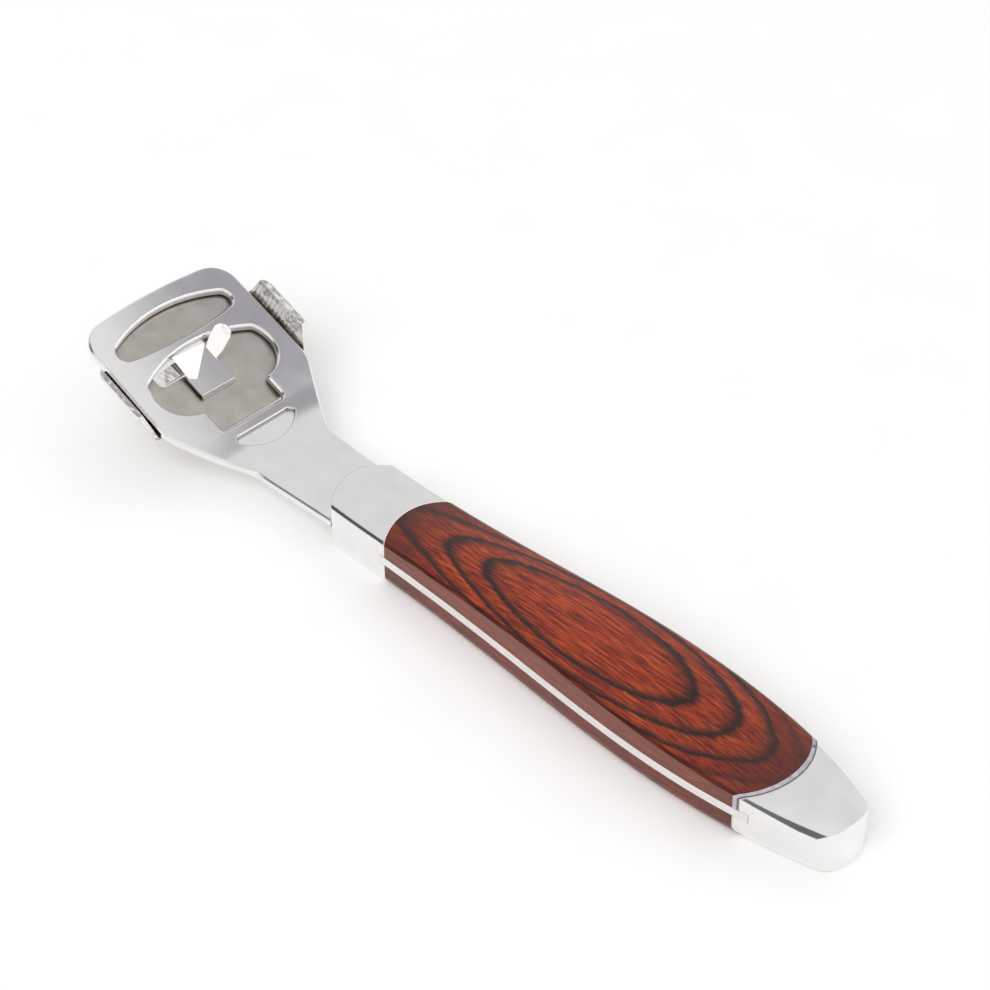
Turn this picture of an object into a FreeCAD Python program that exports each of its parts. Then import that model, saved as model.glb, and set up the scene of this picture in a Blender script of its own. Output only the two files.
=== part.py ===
import FreeCAD, Part
import math
import os
import Sketcher

# Foot scraper: a stamped steel head and guard plate on a wood-clad steel handle.
# Millimetres. +X runs from the handle to the head, +Y to the left, +Z up.
# The origin is on the flat underside, at the middle of the handle's length.

Vector = FreeCAD.Vector
doc = FreeCAD.newDocument("foot_scraper")
sheet = doc.addObject("Spreadsheet::Sheet", "sizes")

DIMENSIONS = {
    # Handle, from front to rear
    "bolster_length": 14.0,
    "scale_length": 83.6,
    "cap_length": 18.6,
    "filler_width": 1.0,
    "sheet_thickness": 1.7,
    "lower_scale_height": 4.7,
    "bolster_front_radius": 11.1,
    "joint_radius": 13.3,
    "cap_end_radius": 8.7,
    "cap_end_setback": 3.6,
    "cap_corner_radius": 0.5,
    "cap_corner_half_width": 6.3,
    "cap_flare": 14.0,
    "edge_bevel": 0.6,
    "tail_bevel": 1.6,
    # Half widths, side heights and crowns of the handle's cross-sections
    "front_half_width": 8.0,
    "front_side_height": 9.5,
    "joint_half_width": 8.2,
    "joint_side_height": 9.2,
    "neck_half_width": 8.85,
    "neck_side_height": 10.1,
    "palm_half_width": 10.15,
    "palm_side_height": 10.75,
    "belly_half_width": 10.95,
    "belly_side_height": 10.35,
    "rear_half_width": 9.6,
    "rear_side_height": 9.2,
    "tail_half_width": 5.3,
    "tail_side_height": 7.0,
    "metal_crown": 0.9,
    "wood_crown": 1.25,
    "front_underside_radius": 1.2,
    "underside_radius": 2.4,
    "underside_trim": 0.02,
    "neck_station": 21.0,
    "palm_station": 42.0,
    "belly_station": 61.0,
    # Tongues, slots and dowels inside the handle
    "tongue_half_width": 6.5,
    "rear_tongue_half_width": 5.0,
    "rear_tongue_length": 9.0,
    "head_tongue_length": 7.0,
    "bolster_mouth": 1.2,
    "cap_mouth": 3.0,
    "slot_clearance": 0.05,
    "butt_gap": 0.1,
    "dowel_radius": 1.5,
    "dowel_depth": 2.4,
    "dowel_clearance": 0.03,
    "dowel_inset": 17.0,
    # Head plate
    "head_tilt": 21.5,
    "head_bend_radius": 38.0,
    "head_length": 39.4,
    "head_front_radius": 110.0,
    "head_front_half_width": 17.1,
    "head_rear_half_width": 17.4,
    "head_corner_radius": 5.5,
    "shoulder_station": 12.3,
    "shoulder_radius": 9.0,
    "waist_station": 3.0,
    "waist_half_width": 8.9,
    "waist_radius": 8.0,
    "neck_length": 22.6,
    "plate_bevel": 0.35,
    # Lens-shaped window in front
    "lens_front": 35.5,
    "lens_front_radius": 29.0,
    "lens_rear": 28.0,
    "lens_rear_radius": 75.0,
    "lens_end_radius": 2.05,
    # Mushroom-shaped aperture behind it
    "arch_front": 26.3,
    "arch_radius": 26.0,
    "arch_half_length": 12.6,
    "lobe_station": 19.2,
    "lobe_half_length": 13.6,
    "shank_half_width": 7.5,
    "shank_rear": 7.4,
    "shank_corner_radius": 1.3,
    "shank_shoulder_radius": 1.0,
    "arch_end_radius": 1.5,
    # Pressed half-moon that stops the guard plate
    "moon_front": 5.3,
    "moon_side": 4.2,
    "moon_half_length": 7.1,
    "moon_radius": 8.9,
    "moon_rear": 0.7,
    "moon_depth": 0.8,
    "moon_rear_level": 0.4,
    # Guard plate and its ears
    "guard_thickness": 0.55,
    "guard_clearance": 0.12,
    "guard_rear": 8.6,
    "guard_rear_half_width": 11.4,
    "guard_rear_corner_radius": 3.0,
    "guard_shoulder_station": 13.6,
    "guard_half_width": 16.5,
    "guard_front": 38.6,
    "guard_corner_radius": 5.0,
    "ear_base": 17.55,
    "ear_height": 4.05,
    "ear_lean": 67.5,
    "lip_width": 1.2,
    "lip_angle": 4.0,
    "ear_rear": 13.5,
    "ear_slope_front": 17.2,
    "ear_tail_radius": 6.5,
    "lip_rear": 18.4,
    "lip_front": 29.7,
    "ear_front": 30.5,
    "ear_rounding": 2.2,
    "rib_pitch": 1.0,
    "rib_count": 12,
    "rib_depth": 0.13,
    "rib_width": 0.5,
    "rib_start": 17.6,
    "window_rear": 21.7,
    "window_front": 27.5,
    "window_left": 10.2,
    "window_right": 3.4,
    # Latch lifted out of the guard plate
    "latch_centre": 1.4,
    "latch_half_width": 3.9,
    "latch_root": 14.6,
    "latch_foot": 15.5,
    "latch_step_front": 16.1,
    "latch_depth": 0.75,
    "latch_bend": 21.9,
    "facet_rear": 19.6,
    "facet_side": 3.7,
    "facet_end": 24.9,
    "facet_left": 20.4,
    "facet_slope": 10.0,
    "latch_front": 25.4,
    "left_wing_tip": 9.2,
    "left_wing_front": 24.8,
    "left_wing_drop": 0.3,
    "right_wing_length": 6.0,
    "right_wing_width": 4.0,
    "right_wing_angle": 38.0,
    "wing_root": 22.8,
    "wing_root_taper": 0.5,
    "wing_skew": 1.3,
}

for row, (alias, value) in enumerate(DIMENSIONS.items(), start=1):
    sheet.set("A%d" % row, alias.replace("_", " "))
    sheet.set("B%d" % row, str(value))
    sheet.setAlias("B%d" % row, alias)
doc.recompute()


def number(expression):
    """Value of an expression over the sheet's cells."""
    return float(sheet.evalExpression(expression))


def bind(item, path, expression):
    """Ties a property of a document object to the sheet."""
    item.setExpression(path, expression)


def new_body(name):
    return doc.addObject("PartDesign::Body", name)


def new_sketch(body, name, role, offset="0"):
    """Sketch on one of the body's own planes, moved along the plane's normal."""
    plane = [item for item in body.Origin.OriginFeatures if item.Role == role][0]
    sketch = body.newObject("Sketcher::SketchObject", name)
    sketch.AttachmentSupport = [(plane, "")]
    sketch.MapMode = "FlatFace"
    bind(sketch, "AttachmentOffset.Base.z", offset)
    return sketch


def arc_geometry(start, end, radius, turn):
    """Circular arc from start to end that turns left (+1) or right (-1)."""
    chord = end - start
    middle = (start + end) * 0.5
    reach = math.sqrt(max(radius ** 2 - (chord.Length / 2) ** 2, 0.0))
    across = Vector(-chord.y, chord.x, 0).normalize()
    centre = middle + across * (reach * turn)
    circle = Part.Circle(centre, Vector(0, 0, 1), radius)
    first, last = (start, end) if turn > 0 else (end, start)
    angles = [math.atan2(p.y - centre.y, p.x - centre.x) for p in (first, last)]
    return Part.ArcOfCircle(circle, angles[0], angles[1])


def draw_outline(sketch, corners):
    """Closed outline. Each corner is (x, y) or (x, y, radius, turn) in expressions.

    A radius and turn make the side that leaves the corner an arc.
    """
    points = [Vector(number(corner[0]), number(corner[1]), 0) for corner in corners]
    entries = []
    for index, corner in enumerate(corners):
        start = points[index]
        end = points[(index + 1) % len(points)]
        if len(corner) == 2:
            side = sketch.addGeometry(Part.LineSegment(start, end), False)
            entries.append((side, 1, 2))
            continue
        side = sketch.addGeometry(arc_geometry(start, end, number(corner[2]), corner[3]), False)
        entries.append((side, 1, 2) if corner[3] > 0 else (side, 2, 1))
    for index, corner in enumerate(corners):
        side, first, last = entries[index]
        following = entries[(index + 1) % len(entries)]
        sketch.addConstraint(Sketcher.Constraint("Coincident", side, last, following[0], following[1]))
        for kind, expression in (("DistanceX", corner[0]), ("DistanceY", corner[1])):
            rule = Sketcher.Constraint(kind, -1, 1, side, first, number(expression))
            bind(sketch, "Constraints[%d]" % sketch.addConstraint(rule), expression)
        if len(corner) == 4:
            rule = Sketcher.Constraint("Radius", side, number(corner[2]))
            bind(sketch, "Constraints[%d]" % sketch.addConstraint(rule), corner[2])


def mirrored(corners):
    """Completes an outline that is symmetrical about y = 0 from its left half, rear to front.

    The side that joins the last corner to its mirror image is given by that corner.
    """
    whole = list(corners)
    for index in range(len(corners) - 1, -1, -1):
        x, y = corners[index][:2]
        arc = corners[index - 1][2:] if index > 0 else ()
        whole.append((x, "-(%s)" % y) + tuple(arc))
    return whole


def pad(body, sketch, length, name, symmetric=False, reverse=False):
    feature = body.newObject("PartDesign::Pad", name)
    feature.Profile = sketch
    feature.Midplane = symmetric
    feature.Reversed = reverse
    bind(feature, "Length", length)
    return feature


def prism(name, corners, bottom, height, role="XY_Plane"):
    """Upright block with the given outline, used to divide up larger forms."""
    body = new_body(name)
    sketch = new_sketch(body, name + "_outline", role, bottom)
    draw_outline(sketch, corners)
    pad(body, sketch, height, name + "_pad")
    return body


def boolean(kind, name, first, second):
    item = doc.addObject(kind, name)
    item.Base = first
    item.Tool = second
    return item


def common(name, first, second):
    return boolean("Part::Common", name, first, second)


def cut(name, first, second):
    return boolean("Part::Cut", name, first, second)


def fuse(name, first, second):
    return boolean("Part::Fuse", name, first, second)


def box(name, low, high):
    """Block between two corners, each given by three expressions."""
    block = doc.addObject("Part::Box", name)
    for axis, size, start, end in zip("xyz", ("Length", "Width", "Height"), low, high):
        bind(block, "Placement.Base." + axis, start)
        bind(block, size, "(%s) - (%s)" % (end, start))
    return block


def size(name):
    return "sizes." + name


def edge_names(item, wanted):
    """Names of the edges of an object for which wanted(edge) is true."""
    return ["Edge%d" % (index + 1) for index, edge in enumerate(item.Shape.Edges) if wanted(edge)]


def upright_at(points):
    """Picks the vertical edges that stand at any of the given (x, y) points."""
    def wanted(edge):
        ends = [vertex.Point for vertex in edge.Vertexes]
        if len(ends) != 2 or math.hypot(ends[0].x - ends[1].x, ends[0].y - ends[1].y) > 1e-4:
            return False
        return any(math.hypot(ends[0].x - x, ends[0].y - y) < 1e-3 for x, y in points)
    return wanted


def round_edges(body, base, names, radius, name):
    fillet = body.newObject("PartDesign::Fillet", name)
    fillet.Base = (base, names)
    bind(fillet, "Radius", radius)
    return fillet


def round_corners(body, base, corners, radius, name):
    """Rounds the upright edges of a padded or pocketed outline at some of its corners."""
    doc.recompute()
    points = [(number(corner[0]), sign * number(corner[1])) for corner in corners for sign in (1, -1)]
    return round_edges(body, base, edge_names(base, upright_at(points)), radius, name)


# Stations along the handle, measured on X
FRONT = "((%s + %s + %s) / 2)" % tuple(size(n) for n in ("bolster_length", "scale_length", "cap_length"))
JOINT = "(%s - sizes.bolster_length)" % FRONT
REAR = "(%s - sizes.scale_length)" % JOINT
END = "(%s - sizes.cap_length)" % REAR
TANG_BOTTOM = "sizes.lower_scale_height"
TANG_TOP = "(sizes.lower_scale_height + sizes.sheet_thickness)"
CLEAR = "20"
TALL = "30"


# Handle form: one palm-shaped body that all the handle's pieces are ground flush to
def handle_section(body, name, station, half_width, side_height, crown, radius, facet):
    top = "(%s + 0.6 * %s)" % (side_height, facet)
    chord = "(%s - %s)" % (half_width, facet)
    crown_radius = "((%s ^ 2 + %s ^ 2) / (2 * %s))" % (chord, crown, crown)
    bottom = "-sizes.underside_trim"
    corners = [
        ("-(%s - %s)" % (half_width, radius), bottom),
        ("%s - %s" % (half_width, radius), bottom, radius, 1),
        (half_width, "%s - sizes.underside_trim" % radius),
        (half_width, side_height),
        (chord, top, crown_radius, 1),
        ("-" + chord, top),
        ("-" + half_width, side_height),
        ("-" + half_width, "%s - sizes.underside_trim" % radius, radius, 1),
    ]
    sketch = new_sketch(body, name, "YZ_Plane", station)
    draw_outline(sketch, corners)
    return sketch


form = new_body("handle_form")
RUN_ON = "5"
metal = size("metal_crown")
wood = size("wood_crown")
under = size("underside_radius")
SECTIONS = [
    ("front_section", "%s + %s" % (FRONT, RUN_ON), "front", metal, size("front_underside_radius")),
    ("joint_section", JOINT, "joint", metal, under),
    ("neck_section", "%s - sizes.neck_station" % JOINT, "neck", wood, under),
    ("palm_section", "%s - sizes.palm_station" % JOINT, "palm", wood, under),
    ("belly_section", "%s - sizes.belly_station" % JOINT, "belly", wood, under),
    ("rear_section", REAR, "rear", metal, under),
    ("tail_section", "%s - 0.5" % END, "tail", metal, under),
]
profiles = []
for label, station, part_name, crown, radius in SECTIONS:
    width = size(part_name + "_half_width")
    side = size(part_name + "_side_height")
    facet = size("tail_bevel") if part_name == "tail" else size("edge_bevel")
    profiles.append(handle_section(form, label, station, width, side, crown, radius, facet))
loft = form.newObject("PartDesign::AdditiveLoft", "handle_loft")
loft.Profile = profiles[0]
loft.Sections = profiles[1:]
loft.Ruled = False
doc.recompute()


# Zones that divide the handle form, seen from above
FRONT_CHORD = size("front_half_width")
JOINT_CHORD = size("joint_half_width")
REAR_CHORD = size("rear_half_width")


def zone_outline(rear, rear_chord, rear_radius, front, front_chord, front_radius):
    """Zone between two arcs that both bulge forwards or rearwards, wider than the handle."""
    return [
        (front, "-" + CLEAR),
        (front, "-(%s)" % front_chord, front_radius[0], front_radius[1]),
        (front, front_chord),
        (front, CLEAR),
        (rear, CLEAR),
        (rear, rear_chord, rear_radius[0], rear_radius[1]),
        (rear, "-(%s)" % rear_chord),
        (rear, "-" + CLEAR),
    ]


FORWARD = 1
joint_arc = size("joint_radius")
bolster_zone = prism("bolster_zone", zone_outline(
    JOINT, JOINT_CHORD, (joint_arc, -FORWARD), FRONT, FRONT_CHORD, (size("bolster_front_radius"), FORWARD)),
    "0", TALL)
wood_outline = zone_outline(
    REAR, REAR_CHORD, (joint_arc, FORWARD), JOINT, JOINT_CHORD, (joint_arc, FORWARD))
upper_zone = prism("upper_zone", wood_outline, TANG_TOP, TALL)
lower_zone = prism("lower_zone", wood_outline, "0", TANG_BOTTOM)
cap_zone = prism("cap_zone", zone_outline(
    "%s - 3" % END, "1", ("50", FORWARD), REAR, REAR_CHORD, (joint_arc, -FORWARD)),
    "0", TALL)
FILLER_REAR = "(%s - sizes.filler_width)" % REAR
filler_zone = prism("filler_zone", zone_outline(
    FILLER_REAR, REAR_CHORD, (joint_arc, FORWARD), REAR, REAR_CHORD, (joint_arc, -FORWARD)),
    TANG_TOP, TALL)


# Tang: flat sheet between the scales, with a narrower tongue at each end
BOLSTER_MOUTH_END = "(%s + sizes.bolster_mouth)" % JOINT
CAP_MOUTH_END = "(%s - sizes.cap_mouth)" % REAR
HEAD_TONGUE_END = "(%s - sizes.head_tongue_length)" % FRONT
TANG_TONGUE_END = "(%s - sizes.butt_gap)" % HEAD_TONGUE_END
REAR_TONGUE_END = "(%s - sizes.rear_tongue_length)" % CAP_MOUTH_END
TONGUE = size("tongue_half_width")
REAR_TONGUE = size("rear_tongue_half_width")

tang_slab = box("tang_slab", (CAP_MOUTH_END, "-" + CLEAR, TANG_BOTTOM), (BOLSTER_MOUTH_END, CLEAR, TANG_TOP))
tang_sides = common("tang_sides", form, tang_slab)
tang_tongues = prism("tang_tongues", [
    (REAR_TONGUE_END, "-" + REAR_TONGUE),
    (JOINT, "-" + REAR_TONGUE),
    (JOINT, "-" + TONGUE),
    (TANG_TONGUE_END, "-" + TONGUE),
    (TANG_TONGUE_END, TONGUE),
    (JOINT, TONGUE),
    (JOINT, REAR_TONGUE),
    (REAR_TONGUE_END, REAR_TONGUE),
], TANG_BOTTOM, size("sheet_thickness"))
tang_blank = fuse("tang_blank", tang_sides, tang_tongues)


# Dowels that line the scales up on the tang
def dowel(name, station, radius, clearance="0"):
    pin = doc.addObject("Part::Cylinder", name)
    bind(pin, "Radius", "%s + %s" % (radius, clearance))
    bind(pin, "Placement.Base.x", station)
    bind(pin, "Placement.Base.z", "%s - sizes.dowel_depth - (%s)" % (TANG_BOTTOM, clearance))
    bind(pin, "Height", "sizes.sheet_thickness + 2 * (sizes.dowel_depth + (%s))" % clearance)
    return pin


DOWEL_STATIONS = {
    "front_dowel": "%s - sizes.dowel_inset" % JOINT,
    "rear_dowel": "%s + sizes.dowel_inset" % REAR,
}
dowels = {}
holes = []
for label, station in DOWEL_STATIONS.items():
    dowels[label] = dowel(label, station, size("dowel_radius"))
    holes.append(dowel(label + "_hole", station, size("dowel_radius"), size("dowel_clearance")))
dowel_holes = fuse("dowel_holes", holes[0], holes[1])

tang_plate = cut("tang_plate", tang_blank, dowel_holes)
upper_scale = cut("upper_scale", common("upper_blank", form, upper_zone), dowel_holes)
lower_scale = cut("lower_scale", common("lower_blank", form, lower_zone), dowel_holes)


# Bolster: solid block slotted for the two tongues, with a wide mouth for the tang
GAP = size("slot_clearance")
SLOT_BOTTOM = "(%s - %s)" % (TANG_BOTTOM, GAP)
SLOT_TOP = "(%s + %s)" % (TANG_TOP, GAP)
SLOT_HALF = "(%s + %s)" % (TONGUE, GAP)
bolster_slot = box("bolster_slot",
                   ("%s - 5" % JOINT, "-" + SLOT_HALF, SLOT_BOTTOM),
                   ("%s + 10" % FRONT, SLOT_HALF, SLOT_TOP))
bolster_mouth = box("bolster_mouth",
                    ("%s - 5" % JOINT, "-" + CLEAR, SLOT_BOTTOM),
                    ("%s + %s" % (BOLSTER_MOUTH_END, GAP), CLEAR, SLOT_TOP))
bolster = cut("bolster_piece", common("bolster_blank", form, bolster_zone),
              fuse("bolster_opening", bolster_slot, bolster_mouth))

# End cap: solid block with a blind slot, a bowed end and two short corners
cap_slot = box("cap_slot",
               ("%s - %s" % (REAR_TONGUE_END, GAP), "-(%s + %s)" % (REAR_TONGUE, GAP), SLOT_BOTTOM),
               ("%s + 5" % REAR, "%s + %s" % (REAR_TONGUE, GAP), SLOT_TOP))
cap_mouth = box("cap_mouth",
                ("%s - %s" % (CAP_MOUTH_END, GAP), "-" + CLEAR, SLOT_BOTTOM),
                ("%s + 5" % REAR, CLEAR, SLOT_TOP))
cap_opening = fuse("cap_opening", fuse("cap_slots", cap_slot, cap_mouth), filler_zone)
CAP_CHORD = "(%s + sizes.cap_end_setback)" % END
cap_plan_half = [
    (CAP_CHORD, size("cap_corner_half_width")),
    ("%s + 8" % REAR, size("cap_flare")),
]
cap_plan = prism("cap_plan", mirrored(cap_plan_half)[:-1] + [
    (CAP_CHORD, "-sizes.cap_corner_half_width", size("cap_end_radius"), -1),
], "-1", TALL)
round_corners(cap_plan, cap_plan.Tip, [cap_plan_half[0]], size("cap_corner_radius"), "cap_rounding")
cap_form = common("cap_form", common("cap_form_behind_joint", form, cap_zone), cap_plan)
cap_blank = cut("cap_blank", cap_form, cap_opening)
rear_filler = common("rear_filler", form, filler_zone)


# Head plate, drawn with the head level: x forwards from the bend, z = 0 its top face
head = new_body("head_form")
TILT = "(sizes.head_tilt * 1 deg)"
TANGENT = "(sizes.head_bend_radius * tan(%s / 2))" % TILT
THICK = size("sheet_thickness")
BEND = size("head_bend_radius")


def on_neck(distance, depth):
    """Point on the neck, at a distance behind the bend and a depth below its top face."""
    x = "-(%s) * cos(%s) - (%s) * sin(%s)" % (distance, TILT, depth, TILT)
    z = "(%s) * sin(%s) - (%s) * cos(%s)" % (distance, TILT, depth, TILT)
    return x, z


NECK = size("neck_length")
side = new_sketch(head, "head_side", "XZ_Plane")
draw_outline(side, [
    on_neck(NECK, "0"),
    on_neck(NECK, THICK),
    on_neck(TANGENT, THICK) + ("%s + %s" % (BEND, THICK), 1),
    (TANGENT, "-" + THICK),
    ("sizes.head_length", "-" + THICK),
    ("sizes.head_length", "0"),
    (TANGENT, "0", BEND, -1),
    on_neck(TANGENT, "0"),
])
pad(head, side, "2 * " + CLEAR, "head_sheet", symmetric=True)

HEAD_FRONT_CORNER = ("(sizes.head_length - sizes.head_front_radius + sqrt(sizes.head_front_radius ^ 2"
                     " - sizes.head_front_half_width ^ 2))")
head_half = [
    ("-sizes.neck_length - 5", size("front_half_width")),
    ("-sizes.waist_station", size("waist_half_width")),
    (size("shoulder_station"), size("head_rear_half_width")),
    (HEAD_FRONT_CORNER, size("head_front_half_width"), size("head_front_radius"), -1),
]
head_plan = prism("head_plan", mirrored(head_half), "-" + CLEAR, "2 * " + CLEAR)
plan_pad = head_plan.Tip
ROUNDED = [
    ("waist", [head_half[1][:2]], "waist_radius"),
    ("shoulder", [head_half[2][:2]], "shoulder_radius"),
    ("corner", [head_half[3][:2]], "head_corner_radius"),
]
for label, points, radius in ROUNDED:
    plan_pad = round_corners(head_plan, plan_pad, points, size(radius), label + "_rounding")


# Two arcs meet in the lens's pointed ends, which are then rounded
LENS_SPAN = "((sizes.lens_rear + sizes.lens_rear_radius) - (sizes.lens_front - sizes.lens_front_radius))"
LENS_REACH = ("((sizes.lens_front_radius ^ 2 - sizes.lens_rear_radius ^ 2 + %s ^ 2) / (2 * %s))"
              % (LENS_SPAN, LENS_SPAN))
LENS_TIP_X = "(sizes.lens_front - sizes.lens_front_radius + %s)" % LENS_REACH
LENS_TIP_Y = "sqrt(sizes.lens_front_radius ^ 2 - %s ^ 2)" % LENS_REACH
lens_tip = (LENS_TIP_X, LENS_TIP_Y)
lens_window = prism("lens_window", [
    lens_tip + ("sizes.lens_front_radius", -1),
    (LENS_TIP_X, "-" + LENS_TIP_Y, "sizes.lens_rear_radius", -1),
], "-" + CLEAR, "2 * " + CLEAR)
round_corners(lens_window, lens_window.Tip, [lens_tip], size("lens_end_radius"), "lens_end_rounding")

ARCH_CORNER = ("(sizes.arch_front - sizes.arch_radius"
               " + sqrt(sizes.arch_radius ^ 2 - sizes.arch_half_length ^ 2))")
LOBE_REAR_RADIUS = "(sizes.lobe_half_length - sizes.shank_half_width)"
LOBE_DROP = "(sizes.lobe_half_length - sizes.arch_half_length)"
LOBE_FRONT_RADIUS = "(((%s - sizes.lobe_station) ^ 2 + %s ^ 2) / (2 * %s))" % (ARCH_CORNER, LOBE_DROP, LOBE_DROP)
mushroom_half = [
    (size("shank_rear"), size("shank_half_width")),
    ("sizes.lobe_station - %s" % LOBE_REAR_RADIUS, size("shank_half_width"), LOBE_REAR_RADIUS, -1),
    (size("lobe_station"), size("lobe_half_length"), LOBE_FRONT_RADIUS, -1),
    (ARCH_CORNER, size("arch_half_length"), size("arch_radius"), -1),
]
mushroom = prism("mushroom_aperture", mirrored(mushroom_half), "-" + CLEAR, "2 * " + CLEAR)
shank_feature = round_corners(
    mushroom, mushroom.Tip, [mushroom_half[0]], size("shank_corner_radius"), "shank_rounding")
shoulder_feature = round_corners(
    mushroom, shank_feature, [mushroom_half[1]], size("shank_shoulder_radius"), "shank_shoulder_rounding")
round_corners(mushroom, shoulder_feature, [mushroom_half[3]], size("arch_end_radius"), "arch_end_rounding")

# Half-moon pressed down from the plate, open at its straight front edge
moon_plan = prism("moon_plan", mirrored([
    (size("moon_side"), size("moon_half_length")),
    (size("moon_front"), "sizes.moon_half_length - 1"),
])[:-1] + [(size("moon_side"), "-sizes.moon_half_length", size("moon_radius"), -1)],
    "-" + CLEAR, "2 * " + CLEAR)


def moon_wedge(name, top, depth):
    """Slab between two levels at the half-moon, sloping down towards the front."""
    body = new_body(name)
    sketch = new_sketch(body, name + "_side", "XZ_Plane")
    slope = "((sizes.moon_depth + sizes.moon_rear_level) / (sizes.moon_front - sizes.moon_rear))"
    rear = "(sizes.moon_rear - 1)"
    front = size("moon_front")
    lowest = "-(%s) - sizes.moon_depth" % depth
    draw_outline(sketch, [
        (rear, "-(%s) + sizes.moon_rear_level + %s" % (depth, slope)),
        (front, lowest),
        (front, top),
        (rear, top),
    ])
    pad(body, sketch, "2 * " + CLEAR, name + "_pad", symmetric=True)
    return body


moon_pit = common("moon_pit", moon_plan, moon_wedge("moon_floor", "3", "0"))
moon_boss = common("moon_boss", moon_plan, moon_wedge("moon_underside", "-0.85", THICK))

def rim_edges(item, level_axis=Vector(0, 0, 1)):
    """Edges where a broad face of the sheet meets an upright wall."""
    def facing(face):
        u0, u1, v0, v1 = face.ParameterRange
        return face.normalAt((u0 + u1) / 2, (v0 + v1) / 2).dot(level_axis)

    names = []
    faces = item.Shape.Faces
    for index, edge in enumerate(item.Shape.Edges, start=1):
        beside = [face for face in faces if any(edge.isSame(other) for other in face.Edges)]
        levels = sorted(abs(facing(face)) for face in beside)
        if len(levels) == 2 and levels[0] < 0.05 and levels[1] > 0.8:
            names.append(index)
    return names


def bevel(name, base, edges, width):
    item = doc.addObject("Part::Chamfer", name)
    item.Base = base
    item.Edges = [(index, number(width), number(width)) for index in edges]
    return item


def tilted(item):
    """Stands an object of the head's frame on the handle, tilted up at the bend."""
    item.Placement = FreeCAD.Placement(Vector(), FreeCAD.Rotation(Vector(0, -1, 0), 1))
    bind(item, "Placement.Base.x", "%s + sizes.neck_length" % FRONT)
    bind(item, "Placement.Base.z", TANG_TOP)
    bind(item, "Placement.Rotation.Angle", "sizes.head_tilt * 1 deg")
    return item


head_outline = common("head_outline", head, head_plan)
head_apertures = fuse("head_apertures", lens_window, mushroom)
head_pierced = cut("head_pierced", head_outline, head_apertures)
doc.recompute()
head_bevelled = bevel("head_bevelled", head_pierced, rim_edges(head_pierced), size("plate_bevel"))
head_raised = fuse("head_raised", head_bevelled, moon_boss)
head_pressed = tilted(cut("head_pressed", head_raised, moon_pit))

# The neck ends against the bolster and carries on into it as a narrower tongue
head_tongue = box("head_tongue",
                  (HEAD_TONGUE_END, "-" + TONGUE, TANG_BOTTOM),
                  ("%s + 5" % FRONT, TONGUE, TANG_TOP))
head_shouldered = cut("head_shouldered", head_pressed, bolster_zone)
head_plate = fuse("head_sheet_with_tongue", head_shouldered, head_tongue)


# Guard plate below the head, in the head's frame
FLOOR = "(-(sizes.sheet_thickness + sizes.guard_clearance))"
GUARD = size("guard_thickness")
guard_plan_half = [
    (size("guard_rear"), size("guard_rear_half_width")),
    (size("guard_shoulder_station"), size("guard_half_width")),
    (size("guard_front"), size("guard_half_width")),
]
guard_floor = prism("guard_floor", mirrored(guard_plan_half), "%s - %s" % (FLOOR, GUARD), GUARD)
floor_feature = round_corners(
    guard_floor, guard_floor.Tip, [guard_plan_half[0]], size("guard_rear_corner_radius"), "rear_rounding")
round_corners(guard_floor, floor_feature, [guard_plan_half[2]], size("guard_corner_radius"), "front_rounding")

# Ears folded up beside the head, cut from one channel-shaped section
LEAN = "(sizes.ear_lean * 1 deg)"
LIP = "(sizes.lip_angle * 1 deg)"
ear_points = [
    (size("ear_base"), FLOOR),
    ("(sizes.ear_base + sizes.ear_height / tan(%s))" % LEAN, "(%s + sizes.ear_height)" % FLOOR),
]
ear_points.append(("(%s + sizes.lip_width)" % ear_points[1][0],
                   "(%s + sizes.lip_width * tan(%s))" % (ear_points[1][1], LIP)))


def offset_point(point, middle, half_turn):
    """Point on the ear's outer face that belongs to a point on its inner face."""
    y = "(%s + %s * sin(%s) / cos(%s))" % (point[0], GUARD, middle, half_turn)
    z = "(%s - %s * cos(%s) / cos(%s))" % (point[1], GUARD, middle, half_turn)
    return y, z


outer_points = [
    offset_point(ear_points[0], "(%s / 2)" % LEAN, "(%s / 2)" % LEAN),
    offset_point(ear_points[1], "((%s + %s) / 2)" % (LEAN, LIP), "((%s - %s) / 2)" % (LEAN, LIP)),
    offset_point(ear_points[2], LIP, "(0 * %s)" % LIP),
]
channel_half = outer_points + ear_points[::-1]
channel_section = [("-(%s)" % y, z) for y, z in outer_points[::-1]] + channel_half
channel_section += [("-(%s)" % y, z) for y, z in ear_points]
ear_channel = new_body("ear_channel")
channel_sketch = new_sketch(ear_channel, "channel_section", "YZ_Plane", size("ear_rear"))
draw_outline(channel_sketch, channel_section)
pad(ear_channel, channel_sketch, "sizes.ear_front - sizes.ear_rear", "channel_pad")

# Fine ribs along both ears, pressed across their inner faces
doc.recompute()
HEIGHT = "(sizes.ear_height / sin(%s))" % LEAN


def beside_wall(along, outward):
    """Point at a distance up the ear's wall from its foot and outwards from its inner face."""
    y = "(%s + (%s) * cos(%s) + (%s) * sin(%s))" % (ear_points[0][0], along, LEAN, outward, LEAN)
    z = "(%s + (%s) * sin(%s) - (%s) * cos(%s))" % (ear_points[0][1], along, LEAN, outward, LEAN)
    return y, z


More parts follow.
